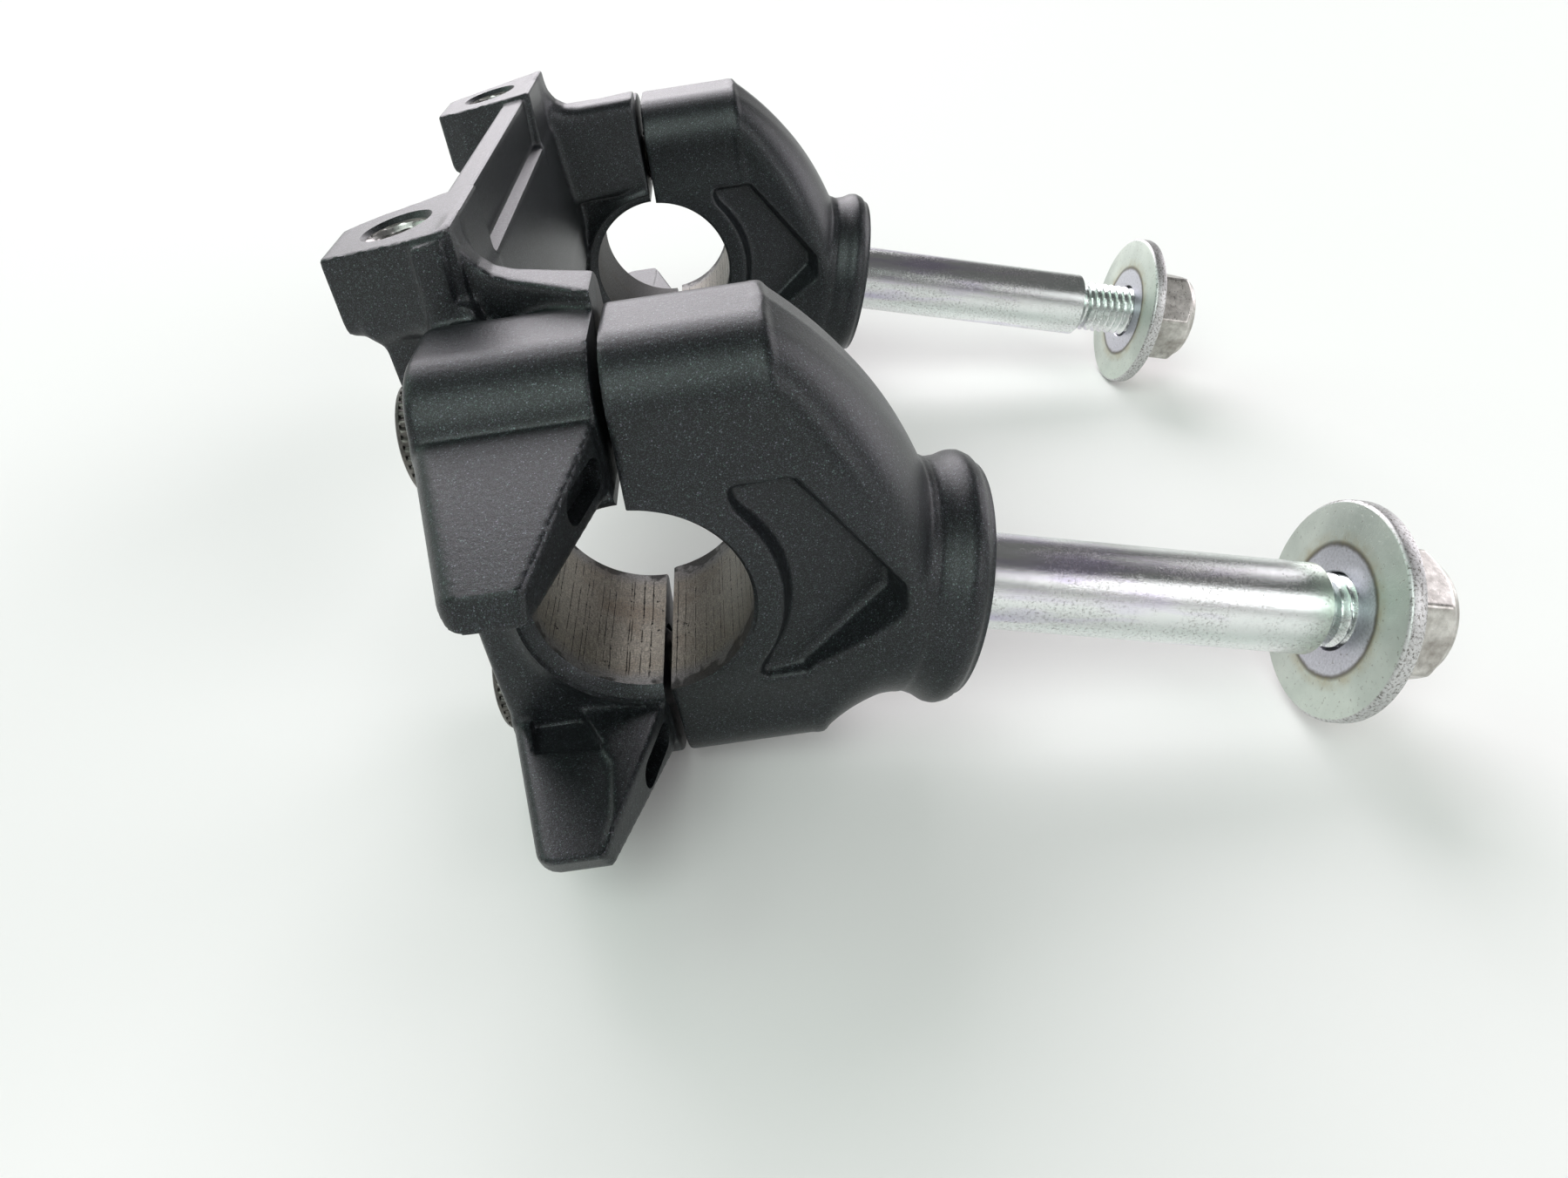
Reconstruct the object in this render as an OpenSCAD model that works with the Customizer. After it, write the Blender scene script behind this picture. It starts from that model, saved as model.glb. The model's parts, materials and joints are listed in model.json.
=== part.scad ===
// Handlebar clamp: two cast risers on long studs, joined by a one-piece top
// clamp that four socket screws pull down on the handlebar.
// The set lies on its side: +Y runs along the handlebar, +X runs out along the
// studs, and +Z is up from the ground it rests on.

/* [Handlebar] */
// Diameter of the handlebar that the half-bores hold
bar_d = 25.4; // [24.6:0.1:25.6]
// Gap between the riser face and the clamp face before the screws are tight
split_gap = 1; // [0.8:0.1:1.4]

/* [Risers] */
// Distance between the middles of the two risers, along the handlebar
riser_spacing = 109; // [90:1:130]
// Length of each half-bore along the handlebar
grip_l = 26.8; // [26:0.2:29]
// Angle between the clamp screws and the studs, in degrees
clamp_tilt = 16; // [12:1:18]
// Distance from the handlebar axis to the face that the riser stands on
seat_x = 39.5; // [39:0.5:42]
// Depth of the pocket in each side of a riser
pocket_depth = 2.5; // [1:0.1:3]

/* [Top clamp] */
// Distance from the handlebar axis to the back of the clamp
back_x = 19.5; // [19:0.1:21]
// Reach of the prongs past the middle of a riser
prong_reach = 35; // [28:0.5:40]
// Distance between a riser's middle and the bracket boss beside it
boss_offset = 19.2; // [18.5:0.1:21]

/* [Screws] */
// Distance from the handlebar axis to each clamp screw
screw_offset = 18.1; // [17.8:0.1:18.6]
// Thread diameter of the clamp screws
screw_d = 8; // [7:0.5:8]
// Depth of the counterbore under each screw head
counterbore_depth = 5; // [3:0.5:6]

/* [Studs] */
// Diameter of the plain shank
shank_d = 12.4; // [12:0.1:13]
// Diameter of the stud's root, which is pressed into the riser
stud_root_d = 11.8; // [11:0.1:11.9]
// Distance from the handlebar axis to the end of the plain shank
shank_end_x = 88.8; // [70:0.2:100]
// Length of thread past the plain shank
stud_thread_l = 15.7; // [14:0.1:18]
// Thread diameter at the nut end
stud_thread_d = 10; // [9:0.5:10]
// Gap from the shank's end to the left washer
washer_gap_left = 3; // [0.2:0.2:4]
// Gap from the shank's end to the right washer
washer_gap_right = 10.5; // [0.2:0.5:11]

/* [Washers and nuts] */
// Outer diameter of the stud washers
washer_d = 30; // [26:0.5:32]
// Thickness of the stud washers
washer_t = 2.5; // [2:0.1:3]
// Width across the flats of the lock nuts
nut_flats = 17; // [16:0.5:18]
// Height of the lock nuts
nut_h = 10.4; // [9:0.2:12]

/* [Hidden] */
$fn = 96;
eps = 0.01;
casting = [0.19, 0.19, 0.21];
zinc = [0.72, 0.73, 0.7];
dark_steel = [0.3, 0.29, 0.28];
nylon = [0.82, 0.8, 0.72];

bar_r = bar_d / 2;
clamp_face = -0.05;
riser_face = clamp_face + split_gap;
left = -riser_spacing / 2;
right = riser_spacing / 2;

// Barrels: the rounded blocks that the clamp screws pass through
barrel_hw = 11.3;
barrel_corner = 8;
barrel_top = screw_offset + 10.7;
barrel_end = 18.5;
grip_hw = grip_l / 2;
cheek_h = 11;
shoulder_scale = 0.985;

// Foot: neck, lip and seat of a riser, turned about the stud
stud_z = -0.9;
neck_r = 14.9;
lip_r = 16.1;
seat_r = 14.7;
neck_x = seat_x - 7.5;
lip_x = seat_x - 2.6;
stud_root_x = 18.5;
shank_x = seat_x - 0.6;
shank_clear = 0.2;

// Screws
screw_r = screw_d / 2;
head_r = 6.5;
head_h = 8;
head_x = -back_x + counterbore_depth;
screw_end_x = 15.5;
screw_hole_end_x = 17.3;
socket_flats = 6;
socket_depth = 4.2;
screw_clear = 0.5;
thread_clear = 0.05;

// Stud, washer and nut places along the stud
thread_r = stud_thread_d / 2;
stud_end_x = shank_end_x + stud_thread_l;
thread_pitch = 1.5;
ring_l = 2.4;
ring_r = 6.6;
collar_r = nut_flats / 2 - 0.15;
collar_bevel = 0.8;
hex_h = nut_h - 1.2;

// Bracket boss: the outer edge of its sloped top, and the slope
boss_edge_x = -31.1;
boss_edge_z = 35.2;
boss_slope = 7.9;

// A point [x, z] of the tilted clamp, in the frame of the studs
function from_clamp(x, z) =
    [x * cos(clamp_tilt) - z * sin(clamp_tilt), x * sin(clamp_tilt) + z * cos(clamp_tilt)];

// Lying on the ground: the back corner of the clamp and the right washer touch
rest_corner = from_clamp(-back_x, -barrel_top);
washer_end_x = shank_end_x + washer_gap_right + washer_t;
rest_washer = [washer_end_x, stud_z - washer_d / 2];
rest_pitch = atan2(rest_washer[1] - rest_corner[1], rest_washer[0] - rest_corner[0]);
rest_height = rest_corner[0] * sin(rest_pitch) - rest_corner[1] * cos(rest_pitch);

// The origin is midway between the boss edge and the far end of the right nut
function ground_x(point) = point[0] * cos(rest_pitch) + point[1] * sin(rest_pitch);
nut_end = [washer_end_x + nut_h, stud_z + collar_r - collar_bevel];
middle_x = (ground_x(from_clamp(boss_edge_x, boss_edge_z)) + ground_x(nut_end)) / 2;

module in_row() {
    translate([-middle_x, 0, rest_height]) rotate([0, rest_pitch, 0]) children();
}

module in_clamp() {
    rotate([0, -clamp_tilt, 0]) children();
}

// Extrudes an outline drawn across the clamp (Y, Z) from x0 to x1
module across(x0, x1) {
    translate([x0, 0, 0]) rotate([90, 0, 90]) linear_extrude(x1 - x0) children();
}

// Extrudes an outline drawn on the clamp's side (X, Z) from y0 to y1
module along_bar(y0, y1) {
    translate([0, y1, 0]) rotate([90, 0, 0]) linear_extrude(y1 - y0) children();
}

module rod_x(r, x0, x1) {
    translate([x0, 0, 0]) rotate([0, 90, 0]) cylinder(r = r, h = x1 - x0);
}

module rod_y(r, half_l) {
    rotate([90, 0, 0]) cylinder(r = r, h = 2 * half_l, center = true);
}

// Turns a profile of [x, radius] points about the X axis
module turned_x(points) {
    rotate([0, 90, 0]) rotate_extrude() polygon([for (p = points) [p[1], p[0]]]);
}

// One barrel seen end on, with round outer corners
module barrel_outline() {
    corner_y = barrel_hw - barrel_corner;
    corner_z = barrel_top - barrel_corner;
    translate([-barrel_hw, 0]) square([2 * barrel_hw, corner_z]);
    translate([-corner_y, 0]) square([2 * corner_y, barrel_top]);
    for (side = [-1, 1]) translate([side * corner_y, corner_z]) circle(r = barrel_corner);
}

// Both barrels with the wider cheeks between them
module body_outline(cheek_hw) {
    cheek_top = barrel_top - barrel_corner;
    barrel_outline();
    mirror([0, 1]) barrel_outline();
    polygon([[-barrel_hw, -cheek_top], [barrel_hw, -cheek_top], [cheek_hw, -cheek_h],
        [cheek_hw, cheek_h], [barrel_hw, cheek_top], [-barrel_hw, cheek_top],
        [-cheek_hw, cheek_h], [-cheek_hw, -cheek_h]]);
}

// Side pocket: a curved triangle that follows the bore
module pocket_outline() {
    difference() {
        polygon([[11.6, 13.9], [18.9, 13.9], [29.7, -1.6], [29.4, -4.6], [17.2, -13.7],
            [11.6, -13.7]]);
        circle(r = bar_r + 3.5);
    }
}

function arc(cx, cr, r, a0, a1, n) =
    [for (i = [0:n]) let(a = a0 + (a1 - a0) * i / n) [cx + r * cos(a), cr + r * sin(a)]];

// Foot: a neck that flares to a rounded lip round the seat
module foot() {
    flare = 3;
    round_r = 1.6;
    turned_x(concat([[neck_x - 0.5, 0], [neck_x - 0.5, neck_r]],
        arc(neck_x, neck_r + flare, flare, -90, -40, 8),
        arc(lip_x, lip_r - round_r, round_r, 115, 30, 8),
        [[seat_x, seat_r], [seat_x, 0]]));
}

module riser() {
    difference() {
        union() {
            in_clamp() across(riser_face, barrel_end) body_outline(grip_hw);
            hull($fn = 48) {
                in_clamp() across(barrel_end - 1, barrel_end - 0.5) scale(shoulder_scale)
                    body_outline(grip_hw);
                translate([0, 0, stud_z]) rod_x(neck_r - 0.15, neck_x, neck_x + 0.4);
            }
            translate([0, 0, stud_z]) foot();
        }
        in_clamp() rod_y(bar_r, grip_l);
        in_clamp() for (side = [-1, 1]) {
            translate([0, 0, side * screw_offset])
                rod_x(screw_r + thread_clear, riser_face - 1, screw_hole_end_x);
            along_bar_side(side) pocket_outline();
        }
        translate([0, 0, stud_z]) {
            rod_x(stud_root_d / 2, stud_root_x, seat_x);
            rod_x(shank_d / 2 + shank_clear, shank_x, seat_x + 1);
        }
    }
}

// Cuts an outline into one flat side of a riser
module along_bar_side(side) {
    near = side < 0 ? -2 * grip_hw : grip_hw - pocket_depth;
    far = side < 0 ? pocket_depth - grip_hw : 2 * grip_hw;
    along_bar(near, far) children();
}

// Prong: a tapered finger that reaches outboard, above the bore
module prong() {
    tip = -prong_reach;
    intersection() {
        translate([0, 0, 10]) linear_extrude(20)
            polygon([[-back_x, -5], [-back_x, -12], [-13.1, tip], [-6.2, tip],
                [clamp_face, -12.8], [clamp_face, -5]]);
        across(-back_x - 1, 1)
            polygon([[-5, 14.75], [-5, 22.9], [-12, 22.9], [tip + 1.7, 18.7], [tip, 14.75]]);
    }
}

// Casting recess under the root of a prong
module prong_root_recess() {
    translate([0, 0, 14]) linear_extrude(3.2)
        polygon([[-17.2, -11.3], [-14.9, -18], [-7.4, -18.6], [-11.6, -11.3]]);
}

// Round-ended slot in the slanted face of a prong
module prong_slot() {
    slant = atan2(6.2, 22.2);
    slot_r = 1.9;
    half_l = 2.8;
    depth = 2;
    translate([-1.64, -17.5, 18.4]) rotate([0, 0, -slant]) translate([-depth, 0, 0])
        rotate([0, 90, 0]) linear_extrude(3 * depth) {
            translate([-slot_r, -half_l]) square([2 * slot_r, 2 * half_l]);
            for (end = [-half_l, half_l]) translate([0, end]) circle(r = slot_r);
        }
}

// Bracket boss, with a sloped top and a threaded hole
module boss() {
    difference() {
        translate([0, boss_offset, 0]) {
            translate([0, 0, 25.2]) linear_extrude(14)
                polygon([[boss_edge_x, -5.6], [boss_edge_x, 5.9], [-27, 7.4], [-18, 9.2],
                    [-14.8, 9.2], [-14.8, -9], [-20, -8.4]]);
            along_bar(-5.4, 5.4)
                polygon([[-27.4, 26], [-27, 15], [-back_x + 1, -4], [-back_x + 2, 26]]);
        }
        boss_top_plane();
    }
}

module boss_top_plane() {
    translate([boss_edge_x, 0, boss_edge_z]) rotate([0, -boss_slope, 0]) translate([-5, -20, 0])
        cube([40, 80, 12]);
}

// Threaded hole square to the boss's top, drawn at its outer diameter
module boss_hole() {
    from_edge = 8.4;
    hole_r = 4;
    depth = 12;
    translate([boss_edge_x, boss_offset, boss_edge_z]) rotate([0, -boss_slope, 0])
        translate([from_edge, 0, -depth]) cylinder(r = hole_r, h = depth + 8);
}

// Web along the inboard edge of a barrel's top, which turns up into the boss
module end_plate() {
    intersection() {
        along_bar(0, 18)
            polygon([[clamp_face, 15], [clamp_face, 30.6], [-9.4, 31.2], [-11.6, 31.7],
                [-13.1, 32.8], [-14.2, 34.6], [-15, 37.2], [-back_x, 36.6], [-back_x, 15]]);
        linear_extrude(40)
            polygon([[clamp_face, 3], [-2, 4.4], [-8, 8.4], [-12, 10.6], [-back_x, 11.8],
                [-back_x, 17.8], [-14.8, 17.2], [-11, 15.8], [clamp_face, 11.9]]);
    }
}

// One end of the top clamp: half-bore, barrels, prongs, boss and half the bridge
module clamp_end() {
    difference() {
        union() {
            across(-back_x, clamp_face) body_outline(barrel_hw + 0.6);
            intersection() {
                rotate([90, 0, 0]) rotate_extrude()
                    polygon([[0, -grip_hw], [bar_r + 1.2, -grip_hw], [bar_r + 3.6, -barrel_hw],
                        [bar_r + 3.6, barrel_hw], [bar_r + 1.2, grip_hw], [0, grip_hw]]);
                translate([-40, -40, -40]) cube([40 + clamp_face, 80, 80]);
            }
            for (flip = [0, 1]) mirror([0, 0, flip]) prong();
            boss();
            end_plate();
            bridge_half();
        }
        rod_y(bar_r, grip_l);
        for (side = [-1, 1]) translate([0, 0, side * screw_offset]) {
            rod_x(screw_r + screw_clear, -back_x - 1, 1);
            rod_x(head_r + screw_clear, -back_x - 1, head_x);
        }
        for (flip = [0, 1]) mirror([0, 0, flip]) {
            prong_root_recess();
            prong_slot();
        }
        boss_hole();
    }
}

// Bridge wall from one end to the middle of the clamp
module bridge_half() {
    along_bar(grip_hw - 4.2, riser_spacing / 2 + eps)
        polygon([[-19.2, 36.1], [-15.6, 36.6], [-16.1, 29.4], [-14.4, 28.6], [-13.2, 12],
            [-14, 4], [-back_x, -2], [-back_x, 30]]);
}

module top_clamp() {
    color(casting) in_row() in_clamp() {
        translate([0, left, 0]) clamp_end();
        mirror([0, 1, 0]) translate([0, left, 0]) clamp_end();
    }
}

// Plain shank with a threaded end, its thread drawn as rings
module stud() {
    crest = thread_r;
    root = thread_r - 0.8;
    turns = floor((stud_thread_l - 1.5) / thread_pitch);
    rings = [for (i = [0:turns - 1], s = [[0.1, root], [0.75, crest], [0.9, crest], [1.45, root]])
        [shank_end_x + i * thread_pitch + s[0], s[1]]];
    translate([0, 0, stud_z]) turned_x(concat(
        [[stud_root_x, 0], [stud_root_x, stud_root_d / 2], [shank_x, stud_root_d / 2],
        [shank_x, shank_d / 2], [shank_end_x - 0.6, shank_d / 2],
        [shank_end_x, shank_d / 2 - 0.6], [shank_end_x, root]], rings,
        [[stud_end_x - 1, root], [stud_end_x - 0.8, crest - 0.3], [stud_end_x, root],
        [stud_end_x, 0]]));
}

module stud_washer(gap) {
    x0 = shank_end_x + gap;
    bevel = 0.4;
    translate([0, 0, stud_z]) turned_x([[x0, thread_r + 0.3], [x0, washer_d / 2 - bevel],
        [x0 + bevel, washer_d / 2], [x0 + washer_t - bevel, washer_d / 2],
        [x0 + washer_t, washer_d / 2 - bevel], [x0 + washer_t, thread_r + 0.3]]);
}

// Hexagon with chamfered corners and a round collar that holds the nylon ring
module lock_nut(gap) {
    x0 = shank_end_x + gap + washer_t;
    corner_r = nut_flats / 2 / cos(30);
    ring_x = x0 + nut_h - ring_l - 0.6;
    translate([0, 0, stud_z]) difference() {
        union() {
            intersection() {
                translate([x0, 0, 0]) rotate([0, 90, 0]) cylinder(r = corner_r, h = hex_h, $fn = 6);
                turned_x([[x0, 0], [x0, corner_r - 0.9], [x0 + 0.5, corner_r],
                    [x0 + hex_h - 0.7, corner_r], [x0 + hex_h, corner_r - 1.2], [x0 + hex_h, 0]]);
            }
            turned_x([[x0 + 1, 0], [x0 + 1, collar_r], [x0 + nut_h - 1.2, collar_r],
                [x0 + nut_h, collar_r - collar_bevel], [x0 + nut_h, 0]]);
        }
        rod_x(thread_r + thread_clear, x0 - 1, x0 + nut_h + 1);
        rod_x(ring_r, ring_x, ring_x + ring_l);
    }
}

module nylon_ring(gap) {
    x0 = shank_end_x + gap + washer_t + nut_h - ring_l - 0.6;
    translate([0, 0, stud_z]) difference() {
        rod_x(ring_r, x0, x0 + ring_l);
        rod_x(thread_r + thread_clear, x0 - 1, x0 + ring_l + 1);
    }
}

// Socket head cap screw with a knurled head
module clamp_screw(y, side) {
    knurls = 36;
    top_x = head_x - head_h;
    in_clamp() translate([0, y, side * screw_offset]) difference() {
        turned_x([[top_x, 0], [top_x, head_r - 0.7], [top_x + 0.7, head_r], [head_x, head_r],
            [head_x, screw_r], [screw_end_x - 1, screw_r], [screw_end_x, screw_r - 1],
            [screw_end_x, 0]]);
        translate([top_x - eps, 0, 0]) rotate([0, 90, 0])
            cylinder(r = socket_flats / 2 / cos(30), h = socket_depth, $fn = 6);
        for (i = [0:knurls - 1]) rotate([i * 360 / knurls, 0, 0])
            translate([top_x - 1, 0, head_r + 0.2]) rotate([45, 0, 0])
                translate([0, -0.25, -0.25]) cube([head_h, 0.5, 0.5]);
    }
}

module riser_at(y) {
    color(casting) in_row() translate([0, y, 0]) riser();
}

module stud_at(y) {
    color(zinc) in_row() translate([0, y, 0]) stud();
}

module washer_at(y, gap) {
    color(zinc) in_row() translate([0, y, 0]) stud_washer(gap);
}

module nut_at(y, gap) {
    color(dark_steel) in_row() translate([0, y, 0]) lock_nut(gap);
}

module ring_at(y, gap) {
    color(nylon) in_row() translate([0, y, 0]) nylon_ring(gap);
}

module screw_at(y, side) {
    color(dark_steel) in_row() clamp_screw(y, side);
}

top_clamp();
riser_at(left);  // riser_left
riser_at(right);  // riser_right
stud_at(left);  // stud_left
stud_at(right);  // stud_right
screw_at(left, 1);  // screw_upper_left
screw_at(left, -1);  // screw_lower_left
screw_at(right, 1);  // screw_upper_right
screw_at(right, -1);  // screw_lower_right
washer_at(left, washer_gap_left);  // washer_left
washer_at(right, washer_gap_right);  // washer_right
nut_at(left, washer_gap_left);  // lock_nut_left
nut_at(right, washer_gap_right);  // lock_nut_right
ring_at(left, washer_gap_left);  // nylon_ring_left
ring_at(right, washer_gap_right);  // nylon_ring_right
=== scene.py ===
"""Handlebar clamp with risers: cast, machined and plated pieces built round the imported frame."""
import math
import bmesh
import bpy
import numpy as np
from mathutils import Matrix, Vector
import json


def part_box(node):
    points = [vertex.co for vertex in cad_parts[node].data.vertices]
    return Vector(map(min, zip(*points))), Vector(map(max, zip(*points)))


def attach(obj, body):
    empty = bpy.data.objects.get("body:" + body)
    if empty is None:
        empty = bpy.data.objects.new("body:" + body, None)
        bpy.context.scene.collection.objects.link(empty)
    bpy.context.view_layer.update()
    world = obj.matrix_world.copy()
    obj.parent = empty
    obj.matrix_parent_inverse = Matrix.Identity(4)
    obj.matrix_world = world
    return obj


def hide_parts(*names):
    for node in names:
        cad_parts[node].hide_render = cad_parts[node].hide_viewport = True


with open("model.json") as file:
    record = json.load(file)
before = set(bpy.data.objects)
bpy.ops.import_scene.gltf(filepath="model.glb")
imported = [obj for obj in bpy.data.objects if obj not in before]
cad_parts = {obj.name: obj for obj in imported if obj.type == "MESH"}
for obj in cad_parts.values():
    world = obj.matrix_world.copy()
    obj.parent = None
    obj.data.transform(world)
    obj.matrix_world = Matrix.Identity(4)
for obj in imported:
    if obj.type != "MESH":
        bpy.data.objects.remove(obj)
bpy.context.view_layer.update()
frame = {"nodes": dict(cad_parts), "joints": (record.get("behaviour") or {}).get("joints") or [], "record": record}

MM = 0.001
Y_AXIS = Vector((0, 1, 0))


# ---------------------------------------------------------------- the frame's places
def joint_axis(name):
    """Direction of one of the record's joints."""
    return Vector(next(j["axis"] for j in frame["joints"] if j["name"] == name))


def mount_place(name):
    """Position of one of the record's mounts, in metres."""
    return Vector(next(m["pos_m"] for m in frame["record"]["mounts"] if m["name"] == name))


def placed(x_axis, origin):
    """Matrix of a frame whose X runs along x_axis and whose Y runs along the handlebar."""
    z_axis = x_axis.cross(Y_AXIS)
    turn = Matrix((x_axis, Y_AXIS, z_axis)).transposed().to_4x4()
    return Matrix.Translation(origin) @ turn


STUD_DIR = joint_axis("washer_left_slide")
GRIP_DIR = joint_axis("riser_left_slide")
TILT = STUD_DIR.angle(GRIP_DIR)
GRIP = {side: placed(GRIP_DIR, mount_place("bar_clamp_" + side)) for side in ("left", "right")}
STUD = {side: placed(STUD_DIR, mount_place("bar_clamp_" + side)) for side in ("left", "right")}
SPACING = (mount_place("bar_clamp_right") - mount_place("bar_clamp_left")).length / MM


# ---------------------------------------------------------------- solid fields, in mm
def smin(a, b, k):
    """Union of two fields with a fillet of about k."""
    h = np.maximum(k - np.abs(a - b), 0) / k
    return np.minimum(a, b) - h * h * k / 4


def smax(a, b, k):
    """Overlap of two fields with edges rounded by about k."""
    return -smin(-a, -b, k)


def round_box(x, y, half_x, half_y, corner):
    """Flat field of a rectangle with round corners."""
    qx = np.abs(x) - (half_x - corner)
    qy = np.abs(y) - (half_y - corner)
    outside = np.hypot(np.maximum(qx, 0), np.maximum(qy, 0))
    return outside + np.minimum(np.maximum(qx, qy), 0) - corner


def outline(x, y, points):
    """Flat field of a polygon."""
    inside = np.zeros(np.broadcast(x, y).shape, bool)
    nearest = np.full(inside.shape, 1e9)
    for (ax, ay), (bx, by) in zip(points, points[1:] + points[:1]):
        ex, ey = bx - ax, by - ay
        along = ((x - ax) * ex + (y - ay) * ey) / (ex * ex + ey * ey)
        along = np.clip(along, 0, 1)
        nearest = np.minimum(nearest, (x - ax - along * ex) ** 2 + (y - ay - along * ey) ** 2)
        if ay != by:
            crosses = ((ay > y) != (by > y)) & (x < ex * (y - ay) / ey + ax)
            inside ^= crosses
    return np.sqrt(nearest) * np.where(inside, -1, 1)


def rounded_outline(x, y, points, corner):
    """Flat field of a polygon whose corners are rounded outwards by corner."""
    return outline(x, y, points) - corner


def smooth_step(v, low, high):
    t = np.clip((v - low) / (high - low), 0, 1)
    return t * t * (3 - 2 * t)


def surface_net(field, lows, step):
    """Mesh of a field's zero surface: (vertices, quads)."""
    inside = field < 0
    counts = np.zeros(tuple(n - 1 for n in field.shape), np.int8)
    corners = [(i, j, k) for i in (0, 1) for j in (0, 1) for k in (0, 1)]
    for i, j, k in corners:
        counts += inside[i:i + counts.shape[0], j:j + counts.shape[1], k:k + counts.shape[2]]
    cells = np.argwhere((counts > 0) & (counts < 8))
    values = {c: field[tuple((cells + c).T)] for c in corners}
    total = np.zeros((len(cells), 3))
    hits = np.zeros(len(cells))
    for a in corners:
        for axis in range(3):
            if a[axis]:
                continue
            b = tuple(v + (n == axis) for n, v in enumerate(a))
            cut = (values[a] < 0) != (values[b] < 0)
            gap = np.where(cut, values[a] - values[b], 1)
            point = np.tile(np.array(a, float), (len(cells), 1))
            point[:, axis] += values[a] / gap
            total[cut] += point[cut]
            hits += cut
    points = cells + total / hits[:, None]
    index = np.full(counts.shape, -1, np.int64)
    index[tuple(cells.T)] = np.arange(len(cells))
    quads = []
    for axis in range(3):
        ahead = [slice(None)] * 3
        behind = [slice(None)] * 3
        ahead[axis] = slice(1, None)
        behind[axis] = slice(None, -1)
        first, second = inside[tuple(behind)], inside[tuple(ahead)]
        edges = np.argwhere(first != second)
        leaving = first[tuple(edges.T)]
        u, v = np.eye(3, dtype=int)[[(axis + 1) % 3, (axis + 2) % 3]]
        ring = np.stack([index[tuple((edges - s).T)] for s in (u + v, v, 0 * u, u)], axis=1)
        ring[~leaving] = ring[~leaving][:, ::-1]
        quads.append(ring)
    points = on_surface(points, field)
    return np.array(lows) + points * step, np.concatenate(quads)


def sample(field, points):
    """Value of a field between its grid points."""
    limit = np.array(field.shape) - 1.001
    p = np.clip(points, 0, limit)
    base = p.astype(int)
    frac = p - base
    value = 0
    for i in (0, 1):
        for j in (0, 1):
            for k in (0, 1):
                weight = np.prod(np.where([i, j, k], frac, 1 - frac), axis=1)
                value = value + weight * field[base[:, 0] + i, base[:, 1] + j, base[:, 2] + k]
    return value


def on_surface(points, field):
    """Moves points along the field's slope until they lie on its zero surface."""
    reach = 0.5
    for _ in range(3):
        slope = np.stack([sample(field, points + reach * e) - sample(field, points - reach * e)
                          for e in np.eye(3)], axis=1)
        size = np.maximum((slope ** 2).sum(1), 1e-6)
        points = points - np.clip(sample(field, points) / size, -0.6, 0.6)[:, None] * slope
    return points


def mesh_from(name, points, faces):
    """Mesh of arrays of points, in mm, and quads."""
    mesh = bpy.data.meshes.new(name)
    mesh.vertices.add(len(points))
    mesh.vertices.foreach_set("co", (points * MM).astype(np.float32).ravel())
    mesh.loops.add(faces.size)
    mesh.loops.foreach_set("vertex_index", faces.astype(np.int32).ravel())
    mesh.polygons.add(len(faces))
    mesh.polygons.foreach_set("loop_start", np.arange(0, faces.size, faces.shape[1], dtype=np.int32))
    mesh.update(calc_edges=True)
    mesh.validate()
    return mesh


def grid(lows, highs, step):
    """Open grid of mm coordinates that covers a box."""
    axes = [np.arange(lo, hi + step, step) for lo, hi in zip(lows, highs)]
    return np.meshgrid(*axes, indexing="ij", sparse=True)


STEP = 0.4

# ---------------------------------------------------------------- sizes, in mm
BAR_R = 12.7
GRIP_HALF = 13.4
CLAMP_FACE = -0.05
RISER_FACE = 0.95
BACK_X = -19.5
BARREL_HALF = 11.3
BARREL_TOP = 28.8
BARREL_CORNER = 8
BARREL_END = 18.5
SCREW_OFFSET = 18.1
STUD_Z = -0.9
SEAT_X = 39.5
NECK_X = 32
NECK_R = 14.65
SHANK_R = 6.2
STUD_START = 18.5
SHANK_END = 88.8
STUD_END = 104.5
THREAD_R = 5
THREAD_PITCH = 1.5
BOSS_Y = 19.2
BOSS_TILT = math.radians(7.9)
BOSS_HOLE_X = -22.78
BOSS_HOLE_Z = 36.35
COARSE_PITCH = 1.25
WASHER_H = 2.5
NUT_H = 10.4
NUT_HALF = 8.5
HEX_H = 9.2
COLLAR_R = 8.35
SCREW_R = 4
ENDS = ((0, 1), (SPACING, -1))


# ---------------------------------------------------------------- castings as fields
def cheek_half(z, wide):
    """Half width of a barrel body at height z: wide beside the bore, narrow at the barrels."""
    return BARREL_HALF + (wide - BARREL_HALF) * (1 - smooth_step(np.abs(z), 8, 21))


def barrel_section(y, z, wide):
    """Field across the clamp of both barrels and the cheeks between them."""
    return round_box(y * BARREL_HALF / cheek_half(z, wide), z, BARREL_HALF, BARREL_TOP, BARREL_CORNER)


POCKET = [(12.9, 12.4), (18.4, 12.4), (28.2, -2), (28, -4.2), (16.8, -12.2), (13, -12.2)]
FOOT = [(NECK_X - 8, 0), (NECK_X - 8, 13), (NECK_X - 1, 14.7), (NECK_X + 1.2, 14.8),
        (NECK_X + 2.8, 15.2),
        (NECK_X + 4.2, 15.95), (NECK_X + 5.2, 16.1), (NECK_X + 6.4, 15.7), (SEAT_X - 0.5, 15),
        (SEAT_X + 2, 14.2), (SEAT_X + 2, 0)]


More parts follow.
